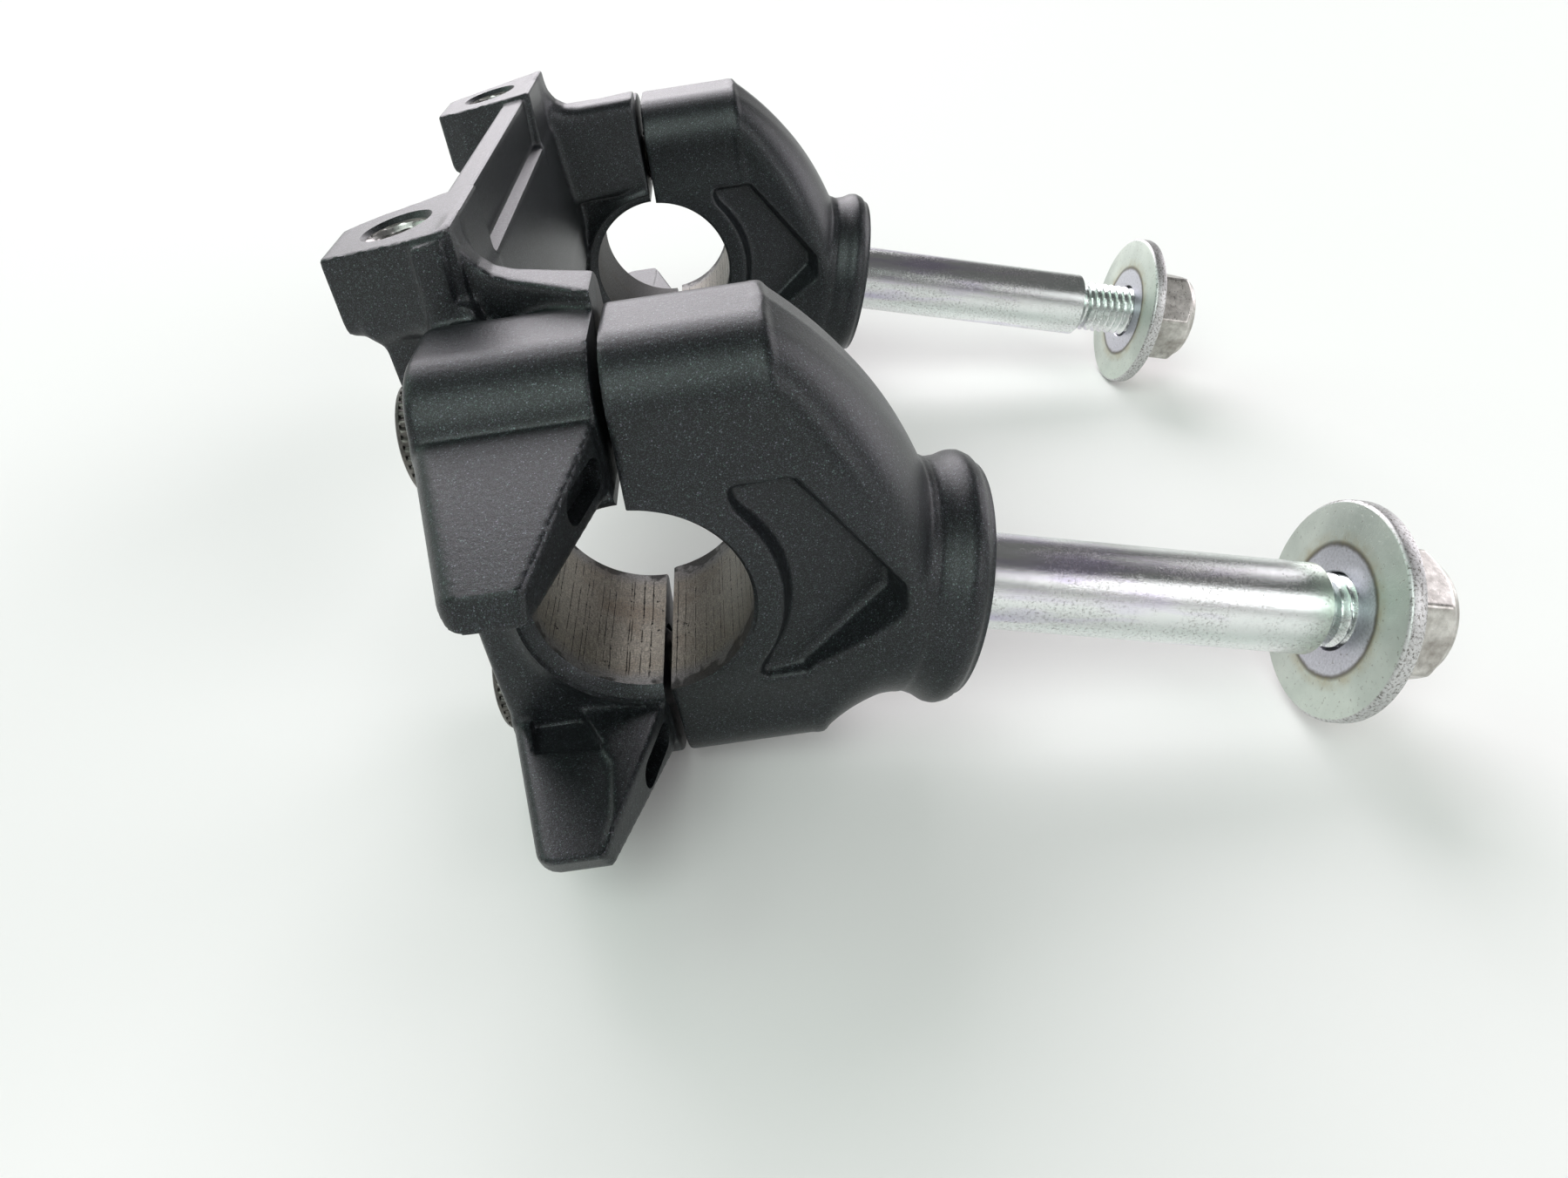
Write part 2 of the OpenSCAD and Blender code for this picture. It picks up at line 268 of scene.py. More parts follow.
def riser_field(x, y, z):
    """Solid field of a riser before machining, in its clamp frame."""
    along = x * math.cos(TILT) - z * math.sin(TILT)
    height = x * math.sin(TILT) + z * math.cos(TILT) - STUD_Z
    body = smax(barrel_section(y, z, GRIP_HALF), np.maximum(x - BARREL_END, -x - 1), 0.9)
    start = np.maximum(x - BARREL_END, 0)
    t = start / np.maximum(start + np.maximum(NECK_X - along, 0), 1e-6)
    core_y, core_z = (1 - t) * (GRIP_HALF - 0.2 - BARREL_CORNER), (1 - t) * (BARREL_TOP - BARREL_CORNER)
    corner = (1 - t) * BARREL_CORNER + t * NECK_R
    ring = round_box(y, (1 - t) * z + t * height, core_y + corner, core_z + corner, corner)
    squeeze = (1 - t) * smooth_step(np.abs(z), 8, 21) * (GRIP_HALF - BARREL_HALF)
    loft = 0.75 * (ring + squeeze * np.abs(y) / GRIP_HALF)
    shoulder = np.maximum(loft, np.maximum(BARREL_END - 1 - x, along - NECK_X - 0.3))
    radius = np.hypot(y, height)
    foot = outline(along, radius, FOOT)
    solid = smin(smin(body, shoulder, 0.7), foot, 1.1)
    solid = smax(solid, -pocket_field(x, y, z), 0.6)
    return smax(solid, RISER_FACE - 0.1 - x, 0.5)


def pocket_field(x, y, z):
    """Field of the drafted pockets in both sides of a riser; the floor deepens towards the neck."""
    depth, draft, floor_slope = 2.3, 0.3, 0.14
    shape = smax(rounded_outline(x, z, POCKET, 1.4), BAR_R + 3.4 - np.hypot(x, z), 1.2)
    wall_in = GRIP_HALF - np.abs(y)
    floor = wall_in - depth - floor_slope * np.maximum(x - POCKET[0][0], 0)
    return smax(shape + draft * wall_in, floor, 0.8)


PRONG_SIDE = [(-5, 14.9), (-5, 22.7), (-12, 22.7), (-33.2, 18.6), (-34.8, 14.9)]
PRONG_TOP = [(-24, -5), (-24, -35.4), (-6.4, -35.4), (-0.4, -12.8), (-0.4, -5)]
PRONG_STEP = [(-20, -5), (-11.9, -11.1), (-8.3, -17.5), (-6.3, -21.5), (-5.8, -28.9),
              (-6.5, -37), (-20, -37)]
PRONG_RECESS = [(-17.4, -8), (-15.3, -17.4), (-7.8, -18), (-12.6, -8)]


def prong_field(x, y, z):
    """Field of the two outboard prongs, above and below the bore."""
    height = np.abs(z)
    side = outline(y, height, PRONG_SIDE)
    back = -0.97 * (x - BACK_X - 0.3) - 0.245 * (y + 12)
    solid = smax(smax(side, outline(x, y, PRONG_TOP), 0.6), back, 2.4)
    step = smax(outline(x, y, PRONG_STEP), height - 15.3, 0.3)
    recess = smax(outline(x, y, PRONG_RECESS) - 0.3, height - 15.9 - 0.16 * (y + 18), 0.7)
    return smax(solid, -smin(step, recess, 0.4), 0.5)


def boss_field(x, y, z):
    """Field of the bracket boss and the rib under it."""
    plan = rounded_outline(x, y - BOSS_Y, [(-30.6, -5.1), (-30.6, 5.2), (-27, 7), (-18, 8.9), (-15, 8.9),
                                           (-15, -8.6), (-20, -8)], 0.4)
    top = (z - 35.2) * math.cos(BOSS_TILT) - (x + 31.1) * math.sin(BOSS_TILT)
    head = smax(smax(plan, 25.4 - z, 2), top, 0.4)
    rib = smax(outline(x, z, [(-27.3, 27), (-27, 15), (BACK_X + 1, -4), (BACK_X + 2, 27)]),
               np.abs(y - BOSS_Y) - 5.4, 0.8)
    return smax(smin(head, rib, 2.5), top, 0.3)


PLATE_SIDE = [(3, 15), (3, 30.6), (-9.4, 31.2), (-11.6, 31.7), (-13.1, 32.8), (-14.2, 34.6), (-15, 37.4),
              (-19.2, 36.6), (-19.2, 15)]
PLATE_TOP = [(3, 1.6), (-2, 4.4), (-8, 8.4), (-12, 10.6), (-15.6, 11.8), (-15.6, 25), (3, 25)]


def bridge_field(x, y, z):
    """Field of the wall between the clamp's two ends and of the end plate it grows from."""
    wall = outline(x, z, [(-19.2, 36.1), (-15.6, 36.6), (-16.1, 29.4), (-14.4, 28.6), (-13.2, 12),
                          (-14, 4), (BACK_X, -2), (BACK_X, 30)])
    wall = smax(wall, GRIP_HALF - 4.2 - y, 0.4)
    inboard = (y - 11.9 + 0.355 * x) / 1.06
    plate = smax(smax(outline(x, z, PLATE_SIDE), inboard, 2.7), outline(x, y, PLATE_TOP), 0.8)
    return smin(wall, plate, 1.2)


def clamp_end_field(x, y, z):
    """Solid field of the left end of the top clamp before machining."""
    body = smax(np.maximum(barrel_section(y, z, BARREL_HALF + 0.6), x - 2), BACK_X - x, 1.6)
    ring_r = np.hypot(x, z)
    collar = outline(np.abs(y), ring_r, [(-1, 0), (GRIP_HALF, 0), (GRIP_HALF, BAR_R + 1.2),
                                         (BARREL_HALF, BAR_R + 3.4), (-1, BAR_R + 3.4)])
    collar = np.maximum(collar, x - 2)
    solid = smin(body, collar, 1)
    solid = smin(solid, prong_field(x, y, z), 0.8)
    solid = smin(solid, boss_field(x, y, z), 4)
    solid = smin(solid, bridge_field(x, y, z), 1)
    return smax(solid, x - CLAMP_FACE - 0.1, 0.5)


# ---------------------------------------------------------------- machining
def cutter(name, build):
    """Scratch object for a boolean, made by build(bm) in mm."""
    bm = bmesh.new()
    build(bm)
    bmesh.ops.recalc_face_normals(bm, faces=bm.faces)
    bmesh.ops.scale(bm, vec=(MM, MM, MM), verts=bm.verts)
    mesh = bpy.data.meshes.new(name)
    bm.to_mesh(mesh)
    bm.free()
    obj = bpy.data.objects.new(name, mesh)
    bpy.context.scene.collection.objects.link(obj)
    return obj


def turned(bm, profile, axis, centre=(0, 0, 0), sides=192, turn=0.0, finish=0):
    """Adds a solid of revolution: profile is (distance along axis, radius) from end to end.

    The walls that keep one radius leave a surface with the given material slot."""
    axis = Vector(axis).normalized()
    spin = axis.to_track_quat("Z", "Y").to_matrix()
    rings = []
    for along, radius in profile:
        ring = []
        for i in range(sides):
            a = turn + 2 * math.pi * i / sides
            p = spin @ Vector((radius * math.cos(a), radius * math.sin(a), along))
            ring.append(bm.verts.new(Vector(centre) + p))
        rings.append(ring)
    for row, (low, high) in enumerate(zip(rings, rings[1:])):
        straight = abs(profile[row][1] - profile[row + 1][1]) < 0.01
        for i in range(sides):
            j = (i + 1) % sides
            face = bm.faces.new((low[i], low[j], high[j], high[i]))
            face.material_index = finish if straight else 0
    bm.faces.new(rings[0][::-1])
    bm.faces.new(rings[-1])


def slab(bm, lows, highs):
    """Adds a box between two corners."""
    size = [h - l for l, h in zip(lows, highs)]
    centre = [(h + l) / 2 for l, h in zip(lows, highs)]
    matrix = Matrix.Translation(centre) @ Matrix.Diagonal((*size, 1))
    bmesh.ops.create_cube(bm, size=1, matrix=matrix)


def machine(obj, name, build):
    """Cuts the solid made by build out of obj."""
    tool = cutter(name, build)
    tool.matrix_world = obj.matrix_world
    cut = obj.modifiers.new(name, "BOOLEAN")
    cut.solver = "MANIFOLD"
    cut.operation = "DIFFERENCE"
    cut.object = tool
    dg = bpy.context.evaluated_depsgraph_get()
    mesh = bpy.data.meshes.new_from_object(obj.evaluated_get(dg))
    obj.modifiers.clear()
    old = obj.data
    obj.data = mesh
    bpy.data.meshes.remove(old)
    bpy.data.objects.remove(tool)


def bore(bm, y, chamfer, step):
    """Half-bore with bare metal inside and a painted chamfer at each end."""
    half = [(GRIP_HALF - chamfer, BAR_R), (GRIP_HALF - chamfer + step, BAR_R + step),
            (GRIP_HALF - chamfer + step + 0.15, BAR_R + 1.6 * step), (GRIP_HALF + 0.1, BAR_R + chamfer),
            (GRIP_HALF + 3, BAR_R + chamfer + 0.1)]
    profile = [(-along, radius) for along, radius in half[::-1]] + half
    turned(bm, profile, Y_AXIS, (0, y, 0), sides=256, finish=1)


def finish_mesh(obj, angle=32):
    """Smooth shading with crisp machined edges."""
    obj.data.shade_smooth()
    obj.data.set_sharp_from_angle(angle=math.radians(angle))


def new_piece(name, mesh, place):
    obj = bpy.data.objects.new(name, mesh)
    bpy.context.scene.collection.objects.link(obj)
    obj.matrix_world = place
    return obj


# ---------------------------------------------------------------- materials
class Nodes:
    """Short way to build a material's node tree."""

    def __init__(self, name):
        self.material = bpy.data.materials.new(name)
        self.material.use_nodes = True
        self.tree = self.material.node_tree
        self.shader = self.tree.nodes["Principled BSDF"]

    def link(self, socket, value):
        if isinstance(value, bpy.types.NodeSocket):
            self.tree.links.new(value, socket)
        else:
            socket.default_value = value

    def set(self, **values):
        for key, value in values.items():
            self.link(self.shader.inputs[key.replace("_", " ")], value)

    def node(self, kind, output=0, inputs=(), **settings):
        made = self.tree.nodes.new("ShaderNode" + kind)
        for key, value in settings.items():
            setattr(made, key, value)
        for key, value in dict(inputs).items():
            self.link(made.inputs[key], value)
        return made.outputs[output]

    def math(self, operation, a, b=0.0, clamp=False):
        return self.node("Math", inputs={0: a, 1: b}, operation=operation, use_clamp=clamp)

    def times(self, a, b):
        return self.math("MULTIPLY", a, b)

    def plus(self, a, b):
        return self.math("ADD", a, b)

    def place(self):
        return self.node("TexCoord", "Object")

    def noise(self, vector, scale, detail=3.0, rough=0.55, warp=0.0):
        return self.node("TexNoise", "Fac", {"Vector": vector, "Scale": scale, "Detail": detail,
                                             "Roughness": rough, "Distortion": warp})

    def cells(self, vector, scale, output="Distance"):
        return self.node("TexVoronoi", output, {"Vector": vector, "Scale": scale})

    def streaks(self, u, v, pattern, detail, rough):
        """Noise over two coordinates, each given with its scale; pattern tells such noises apart."""
        (u, u_scale), (v, v_scale) = u, v
        vector = self.join(self.times(u, u_scale), self.times(v, v_scale), pattern)
        return self.noise(vector, 1, detail, rough)

    def ramp(self, value, low, high, out_low=0.0, out_high=1.0):
        """Value moved from the range low to high into out_low to out_high, and held at its ends."""
        return self.node("MapRange", "Result", {"Value": value, "From Min": low, "From Max": high,
                                                "To Min": out_low, "To Max": out_high})

    def mix(self, fac, a, b):
        made = self.tree.nodes.new("ShaderNodeMix")
        made.data_type = "RGBA"
        self.link(made.inputs["Factor"], fac)
        for socket, value in ((made.inputs[6], a), (made.inputs[7], b)):
            self.link(socket, value if isinstance(value, bpy.types.NodeSocket) else (*value, 1))
        return made.outputs[2]

    def bump(self, height, strength, distance):
        self.link(self.shader.inputs["Normal"], self.node(
            "Bump", "Normal", {"Height": height, "Strength": strength, "Distance": distance}))

    def split(self, vector):
        made = self.tree.nodes.new("ShaderNodeSeparateXYZ")
        self.link(made.inputs[0], vector)
        return made.outputs

    def join(self, x, y, z):
        return self.node("CombineXYZ", inputs={0: x, 1: y, 2: z})

    def around(self, vector, axis):
        """Coordinates unrolled round an axis of the piece: (turn in radians, place along, radius)."""
        parts = self.split(vector)
        u, v = [parts[n] for n in range(3) if n != axis]
        turn = self.math("ARCTAN2", u, v)
        radius = self.math("SQRT", self.plus(self.times(u, u), self.times(v, v)))
        return turn, parts[axis], radius


def paint():
    """Black metallic paint over a casting: fine orange peel, tiny flakes, slightly cloudy."""
    n = Nodes("black_casting_paint")
    p = n.place()
    peel = n.noise(p, 1700, 2)
    grit = n.noise(p, 8000, 2, 0.7)
    cloud = n.noise(p, 60, 3)
    red, green, _ = n.split(n.cells(p, 12500, "Color"))
    rare, shade, _ = n.split(n.cells(p, 8200, "Color"))
    tint = n.mix(green, (0.05, 0.085, 0.07), (0.075, 0.07, 0.1))
    base = n.mix(n.ramp(cloud, 0.35, 0.7), (0.0065, 0.0075, 0.008), (0.0105, 0.0105, 0.013))
    flaked = n.mix(n.times(n.ramp(red, 0.62, 1.0), 0.7), base, tint)
    bright = n.mix(shade, (0.12, 0.21, 0.175), (0.2, 0.185, 0.25))
    n.set(Base_Color=n.mix(n.times(n.ramp(rare, 0.955, 1.0), 0.6), flaked, bright), Metallic=0.4,
          Roughness=n.ramp(grit, 0.25, 0.75, 0.3, 0.43), Specular_IOR_Level=0.55)
    n.bump(n.plus(peel, n.times(grit, 0.7)), 0.32, 0.00009)
    return n.material


def bare_bore():
    """Bare aluminium of the bore: thin dark lines along the bar, chips and dirt, greyer rubbed ends."""
    n = Nodes("bare_aluminium_bore")
    p = n.place()
    turn, along, _ = n.around(p, 1)
    arc = n.times(turn, BAR_R * MM)
    reach = n.math("ABSOLUTE", along)
    fine = n.streaks((arc, 5200), (along, 700), 3, 3, 0.7)
    grain = n.noise(p, 4200, 3, 0.8)
    stain = n.noise(p, 150, 4, 0.6, 0.3)
    waver = n.times(n.noise(p, 160, 2), 0.0003)
    lines = n.node("TexVoronoi", "Distance", {"W": n.plus(arc, waver), "Scale": 820},
                   voronoi_dimensions="1D")
    along_line = n.streaks((arc, 330), (along, 330), 0, 2, 0.6)
    dots = n.streaks((arc, 800), (along, 1500), 4, 2, 0.6)
    thin = n.times(n.ramp(lines, 0.055, 0.02), n.ramp(along_line, 0.4, 0.5))
    thick = n.times(n.ramp(lines, 0.11, 0.06), n.ramp(dots, 0.58, 0.63))
    scores = n.times(n.math("MAXIMUM", thin, thick), n.ramp(reach, 0.0105, 0.0088))
    chips = n.ramp(n.streaks((arc, 420), (along, 300), 9, 5, 0.75), 0.365, 0.34)
    end = n.plus(reach, n.times(n.math("SUBTRACT", along_line, 0.5), 0.008))
    grime = n.times(n.ramp(end, 0.0109, 0.0116), 0.75)
    metal = n.mix(n.ramp(fine, 0.3, 0.7), (0.1, 0.094, 0.075), (0.27, 0.25, 0.2))
    metal = n.mix(n.ramp(reach, 0.0086, 0.0105), metal, (0.15, 0.15, 0.145))
    metal = n.mix(n.times(n.ramp(stain, 0.5, 0.66), 0.55), metal, (0.11, 0.08, 0.045))
    metal = n.mix(n.times(n.ramp(grain, 0.56, 0.44), 0.55), metal, (0.04, 0.038, 0.032))
    mark = n.math("MAXIMUM", n.math("MAXIMUM", scores, chips), grime)
    n.set(Base_Color=n.mix(n.times(mark, 0.93), metal, (0.01, 0.01, 0.009)), Metallic=0.65,
          Roughness=n.plus(n.ramp(fine, 0.3, 0.7, 0.38, 0.52), n.times(mark, 0.2)))
    n.bump(n.math("SUBTRACT", n.plus(fine, grain), n.times(mark, 2.0)), 0.45, 0.00007)
    return n.material


def bright_thread():
    """Freshly cut threads in the bracket holes."""
    n = Nodes("bright_thread")
    scratch = n.noise(n.place(), 1800, 3)
    n.set(Base_Color=n.mix(scratch, (0.42, 0.41, 0.4), (0.66, 0.65, 0.63)), Metallic=1.0,
          Roughness=n.ramp(scratch, 0.3, 0.7, 0.22, 0.4))
    return n.material


def zinc(name, axis, spotted):
    """Bright zinc plate: drawn lines, faint violet and green film, fine pits, a few long scratches."""
    n = Nodes(name)
    p = n.place()
    turn, along, _ = n.around(p, axis)
    lines = n.streaks((turn, 110), (along, 320), 0, 4, 0.7)
    film = n.streaks((turn, 1.3), (along, 30), 5, 3, 0.6)
    pits = n.streaks((turn, 16), (along, 1900), 2, 5, 0.8)
    patch = n.noise(p, 120, 4, 0.65)
    slant = n.plus(n.times(turn, 1.2), n.times(along, 16))
    scratch = n.streaks((slant, 26), (along, 34), 8, 2, 0.5)
    cut = n.times(n.ramp(n.math("ABSOLUTE", n.math("SUBTRACT", scratch, 0.5)), 0.006, 0.002),
                 n.ramp(patch, 0.55, 0.62))
    metal = n.mix(n.ramp(film, 0.35, 0.6), (0.74, 0.79, 0.77), (0.84, 0.85, 0.85))
    metal = n.mix(n.ramp(film, 0.53, 0.7), metal, (0.69, 0.65, 0.8))
    dull = n.times(n.ramp(pits, 0.5, 0.62), n.ramp(patch, 0.54 - spotted, 0.66 - spotted))
    dull = n.math("MAXIMUM", n.times(dull, 0.7), cut)
    n.set(Base_Color=n.mix(n.times(dull, 0.8), metal, (0.17, 0.14, 0.135)), Metallic=1.0,
          Roughness=n.plus(n.ramp(lines, 0.3, 0.7, 0.13, 0.25), n.times(dull, 0.3)))
    n.bump(n.plus(lines, n.times(pits, -1.0)), 0.3, 0.00004)
    return n.material


def washer_zinc():
    """Zinc washer: a clean ring round the hole with a dirty edge, a faint rust halo, a pitted rim."""
    n = Nodes("zinc_washer_plate")
    p = n.place()
    turn, along, radius = n.around(p, 0)
    wobble = n.noise(p, 420, 4, 0.65)
    edge = n.plus(radius, n.times(n.math("SUBTRACT", wobble, 0.5), 0.0007))
    outside = n.ramp(edge, 0.0089, 0.0091)
    line = n.times(n.ramp(edge, 0.0085, 0.0089), n.ramp(edge, 0.0096, 0.0091))
    halo = n.times(n.ramp(edge, 0.0112, 0.0092), n.ramp(wobble, 0.35, 0.65))
    grain = n.noise(p, 2600, 4, 0.75)
    broad = n.noise(p, 160, 3)
    dots = n.ramp(n.noise(p, 1500, 4, 0.8), 0.4, 0.34)
    plate = n.mix(n.ramp(broad, 0.35, 0.7), (0.56, 0.61, 0.56), (0.68, 0.73, 0.67))
    plate = n.mix(n.times(halo, 0.7), plate, (0.42, 0.34, 0.18))
    clean = n.mix(n.ramp(grain, 0.35, 0.65), (0.5, 0.5, 0.55), (0.7, 0.7, 0.76))
    face = n.mix(outside, clean, plate)
    face = n.mix(n.times(line, 0.75), face, (0.09, 0.075, 0.05))
    face = n.mix(n.times(dots, 0.7), face, (0.14, 0.12, 0.1))
    around = n.streaks((turn, 34), (along, 2400), 7, 5, 0.8)
    rim = n.mix(n.ramp(around, 0.5, 0.4), (0.6, 0.6, 0.6), (0.16, 0.15, 0.135))
    n.set(Base_Color=n.mix(n.ramp(radius, 0.01455, 0.0147), face, rim), Metallic=0.92,
          Roughness=n.plus(n.ramp(outside, 0, 1, 0.24, 0.36), n.times(grain, 0.12)))
    n.bump(n.math("SUBTRACT", n.plus(grain, around), n.times(dots, 1.5)), 0.3, 0.00005)
    return n.material


def steel(name, dark, light, rough, grime):
    """Worn plain steel: mottled, darker where grime sits."""
    n = Nodes(name)
    p = n.place()
    spread = 0.08
    mottle = n.noise(p, 420, 5, 0.65)
    grain = n.noise(p, 2400, 3, 0.7)
    stain = n.ramp(n.noise(p, 160, 4, 0.6), 0.55, 0.75)
    colour = n.mix(n.ramp(mottle, 0.35, 0.68), dark, light)
    n.set(Base_Color=n.mix(n.times(stain, grime), colour, (0.09, 0.06, 0.035)), Metallic=0.95,
          Roughness=n.plus(n.ramp(grain, 0.3, 0.7, rough - spread, rough + spread),
                           n.times(stain, 0.2)))
    n.bump(n.plus(mottle, grain), 0.3, 0.00005)
    return n.material


def nylon():
    n = Nodes("nylon_ring_plastic")
    grain = n.noise(n.place(), 900, 3)
    n.set(Base_Color=n.mix(grain, (0.62, 0.6, 0.52), (0.74, 0.72, 0.65)), Roughness=0.45)
    n.bump(grain, 0.2, 0.00004)
    return n.material


PAINT = paint()
BARE = bare_bore()
THREAD = bright_thread()
SHANK = zinc("zinc_shank", 0, 0.14)
WASHER = washer_zinc()
NUT = steel("lock_nut_steel", (0.34, 0.325, 0.3), (0.66, 0.645, 0.61), 0.32, 0.55)
SCREW = steel("screw_steel_dark", (0.045, 0.043, 0.04), (0.2, 0.19, 0.175), 0.38, 0.5)
NYLON = nylon()


# ---------------------------------------------------------------- castings
def casting(name, field, lows, step, place):
    points, quads = surface_net(field, lows, step)
    obj = new_piece(name, mesh_from(name, points, quads), place)
    obj.data.materials.append(PAINT)
    obj.data.materials.append(BARE)
    return obj


def screw_bores(bm, offset, reach):
    for side in (-1, 1):
        centre = (0, offset, side * SCREW_OFFSET)
        if reach < 0:
            turned(bm, [(BACK_X - 3, 7.4), (BACK_X + 0.3, 7), (-14.5, 7), (-14.4, 4.5), (2, 4.5)],
                   (1, 0, 0), centre, 96)
        else:
            turned(bm, [(-1, 5.1), (RISER_FACE, 4.6), (RISER_FACE + 0.6, 4.05), (reach, 4.05)],
                   (1, 0, 0), centre, 96)


def make_risers():
    """Both risers, which are the same casting."""
    lows, highs = (-2.5, -17.5, -36), (47, 17.5, 36)
    field = riser_field(*grid(lows, highs, STEP))
    first = casting("riser_casting_left", field, lows, STEP, GRIP["left"])
    machine(first, "bore", lambda bm: bore(bm, 0, 0.5, 0.2))
    machine(first, "split_face", lambda bm: slab(bm, (-9, -40, -60), (RISER_FACE, 40, 60)))
    machine(first, "screw_holes", lambda bm: screw_bores(bm, 0, 17.3))
    lean = Matrix.Rotation(TILT, 3, "Y")
    along = lean @ Vector((1, 0, 0))
    stud_centre = lean @ Vector((0, 0, STUD_Z))
    machine(first, "seat", lambda bm: turned(bm, [(SEAT_X, 40), (SEAT_X + 9, 40)], along, stud_centre))
    hole = [(STUD_START, SHANK_R + 0.05), (SEAT_X - 0.4, SHANK_R + 0.05), (SEAT_X + 1, SHANK_R + 1.4)]
    machine(first, "stud_hole", lambda bm: turned(bm, hole, along, stud_centre))
    finish_mesh(first)
    second = new_piece("riser_casting_right", first.data.copy(), GRIP["right"])
    for side, piece in (("left", first), ("right", second)):
        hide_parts("riser_" + side)
        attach(piece, "riser_" + side)


def thread_cut(bm, minor, major, pitch, start, end, place, sides=72):
    """Adds a rod with a helical ridge: the shape that cuts an internal thread."""
    rows = int((end - start) / pitch * 10) + 1
    previous = None
    for row in range(rows):
        x = start + (end - start) * row / (rows - 1)
        ring = []
        for i in range(sides):
            wave = abs((x / pitch - i / sides) % 1 - 0.5) * 2
            radius = minor + (major - minor) * wave
            a = 2 * math.pi * i / sides
            ring.append(bm.verts.new(place @ Vector((radius * math.cos(a), radius * math.sin(a), x))))
        if previous:
            for i in range(sides):
                j = (i + 1) % sides
                bm.faces.new((previous[i], previous[j], ring[j], ring[i])).material_index = 2
        else:
            bm.faces.new(ring[::-1])
        previous = ring
    bm.faces.new(previous)


def prong_slots(bm):
    """Round-ended slots in the slanted faces of the prongs."""
    radius, half, depth, clear = 1.9, 2.8, 2, 4
    slot_x, slot_y, slot_z = -1.64, -17.5, 18.4
    slant = Matrix.Rotation(-math.atan2(5.9, 22.2), 4, "Z")
    for y, side in ENDS:
        for z in (-slot_z, slot_z):
            ring = []
            for end, first in ((1, 0), (-1, 180)):
                for step in range(0, 181, 15):
                    a = math.radians(first + step)
                    ring.append((end * half + radius * math.sin(a), radius * math.cos(a)))
            layers = []
            for x in (-depth, clear):
                layer = []
                for u, v in ring:
                    place = slant @ Vector((x, u, v))
                    spot = (place.x + slot_x, y + side * (place.y + slot_y), place.z + z)
                    layer.append(bm.verts.new(spot))
                layers.append(layer)
            count = len(ring)
            for i in range(count):
                j = (i + 1) % count
                bm.faces.new((layers[0][i], layers[0][j], layers[1][j], layers[1][i]))
            bm.faces.new(layers[0])
            bm.faces.new(layers[1])


def boss_mouths():
    """Centres of the bracket holes' mouths."""
    return [(BOSS_HOLE_X, y + side * BOSS_Y, BOSS_HOLE_Z) for y, side in ENDS]


def boss_holes(bm):
    """Threaded bracket holes, square to the tops of the bosses."""
    minor, major, depth = 3.45, 4.05, 12
    for centre in boss_mouths():
        mouth = Matrix.Translation(centre) @ Matrix.Rotation(-BOSS_TILT, 4, "Y")
        thread_cut(bm, minor, major, COARSE_PITCH, -depth, 3, mouth)


def boss_countersinks(bm):
    """Conical mouths of the bracket holes."""
    upwards = Matrix.Rotation(-BOSS_TILT, 3, "Y") @ Vector((0, 0, 1))
    for centre in boss_mouths():
        turned(bm, [(-1.1, 3.4), (1, 5.5)], upwards, centre, 96)


def make_top_clamp():
    """The top clamp: its left half as a field, mirrored, then machined."""
    reach, middle = 36.4, SPACING / 2
    rows = math.ceil((middle + reach) / STEP)
    half = np.arange(middle - STEP * rows, middle + STEP / 2, STEP)
    lows = (-33, half[0], -31)
    xs, _, zs = grid(lows, (4, 1, 41), STEP)
    field = clamp_end_field(xs, half[None, :, None], zs)
    field = np.concatenate([field, field[:, -2::-1]], axis=1)
    piece = casting("top_clamp_casting", field, lows, STEP, GRIP["left"])
    piece.data.materials.append(THREAD)
    for y, _ in ENDS:
        machine(piece, "bore", lambda bm: bore(bm, y, 2.0, 0.9))
        machine(piece, "screw_holes", lambda bm: screw_bores(bm, y, -1))
    machine(piece, "split_face", lambda bm: slab(bm, (CLAMP_FACE, -60, -60), (9, SPACING + 60, 60)))
    machine(piece, "prong_slots", prong_slots)
    machine(piece, "boss_threads", boss_holes)
    machine(piece, "boss_countersinks", boss_countersinks)
    finish_mesh(piece)
    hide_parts("top_clamp")
    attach(piece, "clamp")


# ---------------------------------------------------------------- turned and threaded pieces
def lathe(name, xs, radius_at, place, material, sides=128):
    """Solid of revolution along X; radius_at(x, turn) may vary round the axis, as on threads."""
    turn = np.arange(sides) * 2 * math.pi / sides
    rows = len(xs)
    radius = np.stack([radius_at(x, turn) * np.ones(sides) for x in xs])
    points = [np.repeat(xs, sides), (radius * np.cos(turn)).ravel(), (radius * np.sin(turn)).ravel()]
    points = np.stack(points, axis=1)
    r, s = np.meshgrid(np.arange(rows - 1), np.arange(sides), indexing="ij")
    t = (s + 1) % sides
    here, ahead = r * sides, (r + 1) * sides
    quads = np.stack([here + s, ahead + s, ahead + t, here + t], axis=-1).reshape(-1, 4)
    mesh = mesh_from(name, points, quads)
    bm = bmesh.new()
    bm.from_mesh(mesh)
    bm.verts.ensure_lookup_table()
    bm.faces.new([bm.verts[i] for i in range(sides)])
    bm.faces.new([bm.verts[(rows - 1) * sides + i] for i in range(sides)])
    bmesh.ops.recalc_face_normals(bm, faces=bm.faces)
    bm.to_mesh(mesh)
    bm.free()
    mesh.materials.append(material)
    return new_piece(name, mesh, place)


def profile_radius(points):
    """Radius at x along a turned profile of (x, radius) points."""
    xs, rs = zip(*points)
    return lambda x: float(np.interp(x, xs, rs))


def ridge(x, turn, pitch, depth):
    """Depth of a helical thread below its crest."""
    return depth * np.clip(np.abs((x / pitch - turn / (2 * math.pi)) % 1 - 0.5) * 2.3 - 0.12, 0, 1)


